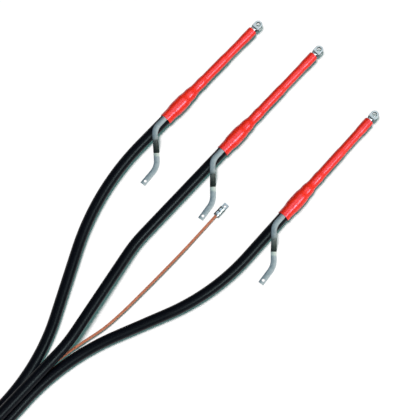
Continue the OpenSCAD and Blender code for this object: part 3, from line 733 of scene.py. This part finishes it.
copper, tree, bsdf = shader("drawn_copper", Metallic=0.2, Specular_IOR_Level=0.2)
place = coordinates(tree)
tarnish = noise(tree, place, 60.0, 5.0, 0.6)
copper_tints = ((0.3, (0.50, 0.180, 0.100)), (0.5, (0.56, 0.215, 0.125)), (0.7, (0.62, 0.25, 0.150)))
paint(tree, bsdf, tint(tree, tarnish, copper_tints), spread(tree, tarnish, 0.66, 0.56))
grain(tree, bsdf, noise(tree, place, 1400.0, 3.0), 0.15, 0.0002)

wire = surface("earth_strand", [(strand_wall, False, True, no_skin)], strand_sharp)
wire.data.materials.append(copper)
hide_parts("earth_wire")

# Earth lug
# A tinned mechanical lug: two socket screws press the strand into its square body, and its palm
# has a hole for an M8 bolt. Its body is painted dark as shade, with a painted highlight on the edge that
# faces up and to the right.
body_from_z = 0.006
painted_highlight_faces = (0.0, -0.6, 0.8)


def facing(tree, way, other):
    """How far a direction agrees with another: their dot product."""
    return node(tree, "ShaderNodeVectorMath", {0: way, 1: other}, operation="DOT_PRODUCT").outputs["Value"]


earth_tin = tin_with_painted_shade("earth_tin", (0.34, 0.42, 0.47), (0.50, 0.60, 0.67), (0.66, 0.76, 0.84))
tree = earth_tin.node_tree
bsdf = tree.nodes["Principled BSDF"]
plain = bsdf.inputs["Base Color"].links[0].from_socket
normal = node(tree, "ShaderNodeNewGeometry").outputs["Normal"]
# Painted light on the body: dark as shade where it faces away, a painted highlight where it faces up and
# to the right.
painted_light_tints = ((0.74, (0.05, 0.055, 0.05)), (0.79, (0.13, 0.15, 0.15)), (0.88, (0.9, 1.0, 1.0)))
painted_light = tint(tree, facing(tree, normal, painted_highlight_faces), painted_light_tints)
height = node(tree, "ShaderNodeSeparateXYZ", {"Vector": coordinates(tree)}).outputs["Z"]
body = reckon(tree, "GREATER_THAN", height, body_from_z)
tree.links.new(mix(tree, "MIX", body, plain, painted_light), bsdf.inputs["Base Color"])
dress(["earth_lug"], earth_tin)

screw_tin = tin_with_painted_shade("screw_tin", (0.56, 0.68, 0.78), (0.68, 0.82, 0.94), (0.80, 0.94, 1.0))
dress(["earth_lug_screws"], screw_tin)

# Studio
# A wide floor, white to the camera, has a lamp of its own for soft shadows and a faint glow in them.
# The tubes, the cores, the metals and the rest have lamps of their own too, so that no piece is
# sampled with a lamp that its finish can't show.
floor_half = 30.0
floor_z = -0.0002
floor_glow = (0.3, 1.0, 0.93, 1.0)
floor_lift = 0.12
sky_faces = (-0.1, -0.75, 0.65)
white = (1.0, 1.0, 1.0)


def seen_by(tree):
    """1 for rays from the camera, mirrors and glass, and 0 for light that is scattered."""
    rays = node(tree, "ShaderNodeLightPath").outputs
    seen = reckon(tree, "MAXIMUM", rays["Is Camera Ray"], rays["Is Glossy Ray"])
    return reckon(tree, "MAXIMUM", seen, rays["Is Transmission Ray"])


floor_mesh = bpy.data.meshes.new("studio_floor")
corners = [(x * floor_half, y * floor_half, floor_z) for x, y in ((-1, -1), (1, -1), (1, 1), (-1, 1))]
floor_mesh.from_pydata(corners, [], [(0, 1, 2, 3)])
floor = bpy.data.objects.new("studio_floor", floor_mesh)
bpy.context.scene.collection.objects.link(floor)
floor_paint = bpy.data.materials.new("studio_floor")
floor_paint.use_nodes = True
tree = floor_paint.node_tree
tree.nodes.clear()
seen = seen_by(tree)
pale = tint(tree, seen, ((0.0, (0.30, 0.30, 0.30)), (1.0, (0.90, 0.90, 0.90))))
lift = reckon(tree, "MULTIPLY", seen, floor_lift)
glow = node(tree, "ShaderNodeEmission", {"Color": floor_glow, "Strength": lift}).outputs["Emission"]
matt = node(tree, "ShaderNodeBsdfDiffuse", {"Color": pale}).outputs["BSDF"]
total = node(tree, "ShaderNodeAddShader", {0: matt, 1: glow}).outputs["Shader"]
node(tree, "ShaderNodeOutputMaterial", {"Surface": total})
floor_mesh.materials.append(floor_paint)

world = bpy.data.worlds.new("studio")
world.use_nodes = True
tree = world.node_tree
sky = tree.nodes["Background"]
way = node(tree, "ShaderNodeTexCoord").outputs["Generated"]
towards = ranged(tree, facing(tree, way, sky_faces), -1.0, 1.0)
sky_tints = ((0.1, (0.12, 0.13, 0.14)), (0.5, (0.42, 0.45, 0.46)), (0.75, (0.80, 0.83, 0.85)))
tree.links.new(tint(tree, towards, sky_tints), sky.inputs["Color"])
tree.links.new(ranged(tree, seen_by(tree), 0.0, 1.0, 0.10, 0.35), sky.inputs["Strength"])
bpy.context.scene.world = world


def sun(name, towards, strength, size, color, shadow, shows, pieces):
    """Distant round lamp that stands in a direction and lights these pieces, with its size in degrees.

    It shows as matt light on their surfaces, in their gloss, or in both.
    """
    lamp = bpy.data.lights.new(name, "SUN")
    lamp.energy = strength
    lamp.color = color
    lamp.angle = np.radians(size)
    lamp.use_shadow = shadow
    holder = bpy.data.objects.new(name, lamp)
    back = np.array(towards) / np.linalg.norm(towards)
    right = np.cross([0.0, 1.0, 0.0], back)
    right /= np.linalg.norm(right)
    turn = np.stack([right, np.cross(back, right), back], 1)
    holder.matrix_world = Matrix(turn.tolist()).to_4x4()
    holder.visible_glossy = shows != "matt"
    holder.visible_diffuse = shows != "gloss"
    lit = bpy.data.collections.new(f"lit_by_{name}")
    for piece in pieces:
        lit.objects.link(piece)
    holder.light_linking.receiver_collection = lit
    bpy.context.scene.collection.objects.link(holder)


shown = [piece for piece in bpy.data.objects if piece.type == "MESH" and piece is not floor]
cores = [piece for piece in shown if piece.name.startswith("core_sheath")]
tubes = [piece for piece in shown if piece.name.startswith("shrunk_tube")]
bright = [piece for piece in shown if piece.name.startswith(("tubular_lug", "earth_lug"))]
metals = bright + [piece for piece in shown if piece.name.startswith(("flat_strap", "contact_plate"))]
others = [piece for piece in shown if piece not in tubes + metals]
sun("floor_light", (-0.03, 0.150, 0.985), 3.35, 20.0, (1.0, 0.90, 0.91), True, "matt", [floor])
sun("top_light", (0.0, 0.12, 0.99), 1.85, 20.0, white, True, "matt", others)
sun("right_light", (0.10, -0.82, 0.57), 2.4, 26.0, white, False, "matt", others)
sun("tube_top", (0.03, 0.08, 1.0), 1.3, 50.0, white, False, "both", tubes)
sun("tube_right", (0.14, -0.68, 0.72), 2.6, 18.0, white, False, "both", tubes)
sun("core_gloss", (0.15, -0.64, 0.75), 2.6, 18.0, (0.80, 1.0, 1.0), False, "gloss", cores)
sun("metal_sheen", (0.1, 0.0, 1.0), 1.1, 110.0, (0.94, 0.98, 1.0), False, "gloss", metals)
sun("metal_gloss", (0.15, -0.66, 0.74), 1.4, 22.0, (0.92, 1.0, 1.0), False, "gloss", bright)

# Camera
# A long lens looks at the part, tilted a little from straight above, as in the photograph.
# The rows of its axes point to its right, to its top and away from what it looks at.
photo_half_px = 210
lens_px = 1400
camera_axes = np.array([[0.6717, -0.7408, 0.0], [0.7121, 0.6457, 0.2756], [-0.2042, -0.1851, 0.9613]])
camera_at = (-0.684408, -0.761929, 3.8623)
lens = bpy.data.cameras.new("camera")
lens.sensor_fit = "HORIZONTAL"
lens.angle = 2 * np.arctan(photo_half_px / lens_px)
lens.clip_end = 60.0
camera = bpy.data.objects.new("camera", lens)
stand = np.eye(4)
stand[:3, :3] = camera_axes.T
stand[:3, 3] = camera_at
camera.matrix_world = Matrix(stand.tolist())
bpy.context.scene.collection.objects.link(camera)
bpy.context.scene.camera = camera
bpy.context.scene.view_settings.view_transform = "Standard"
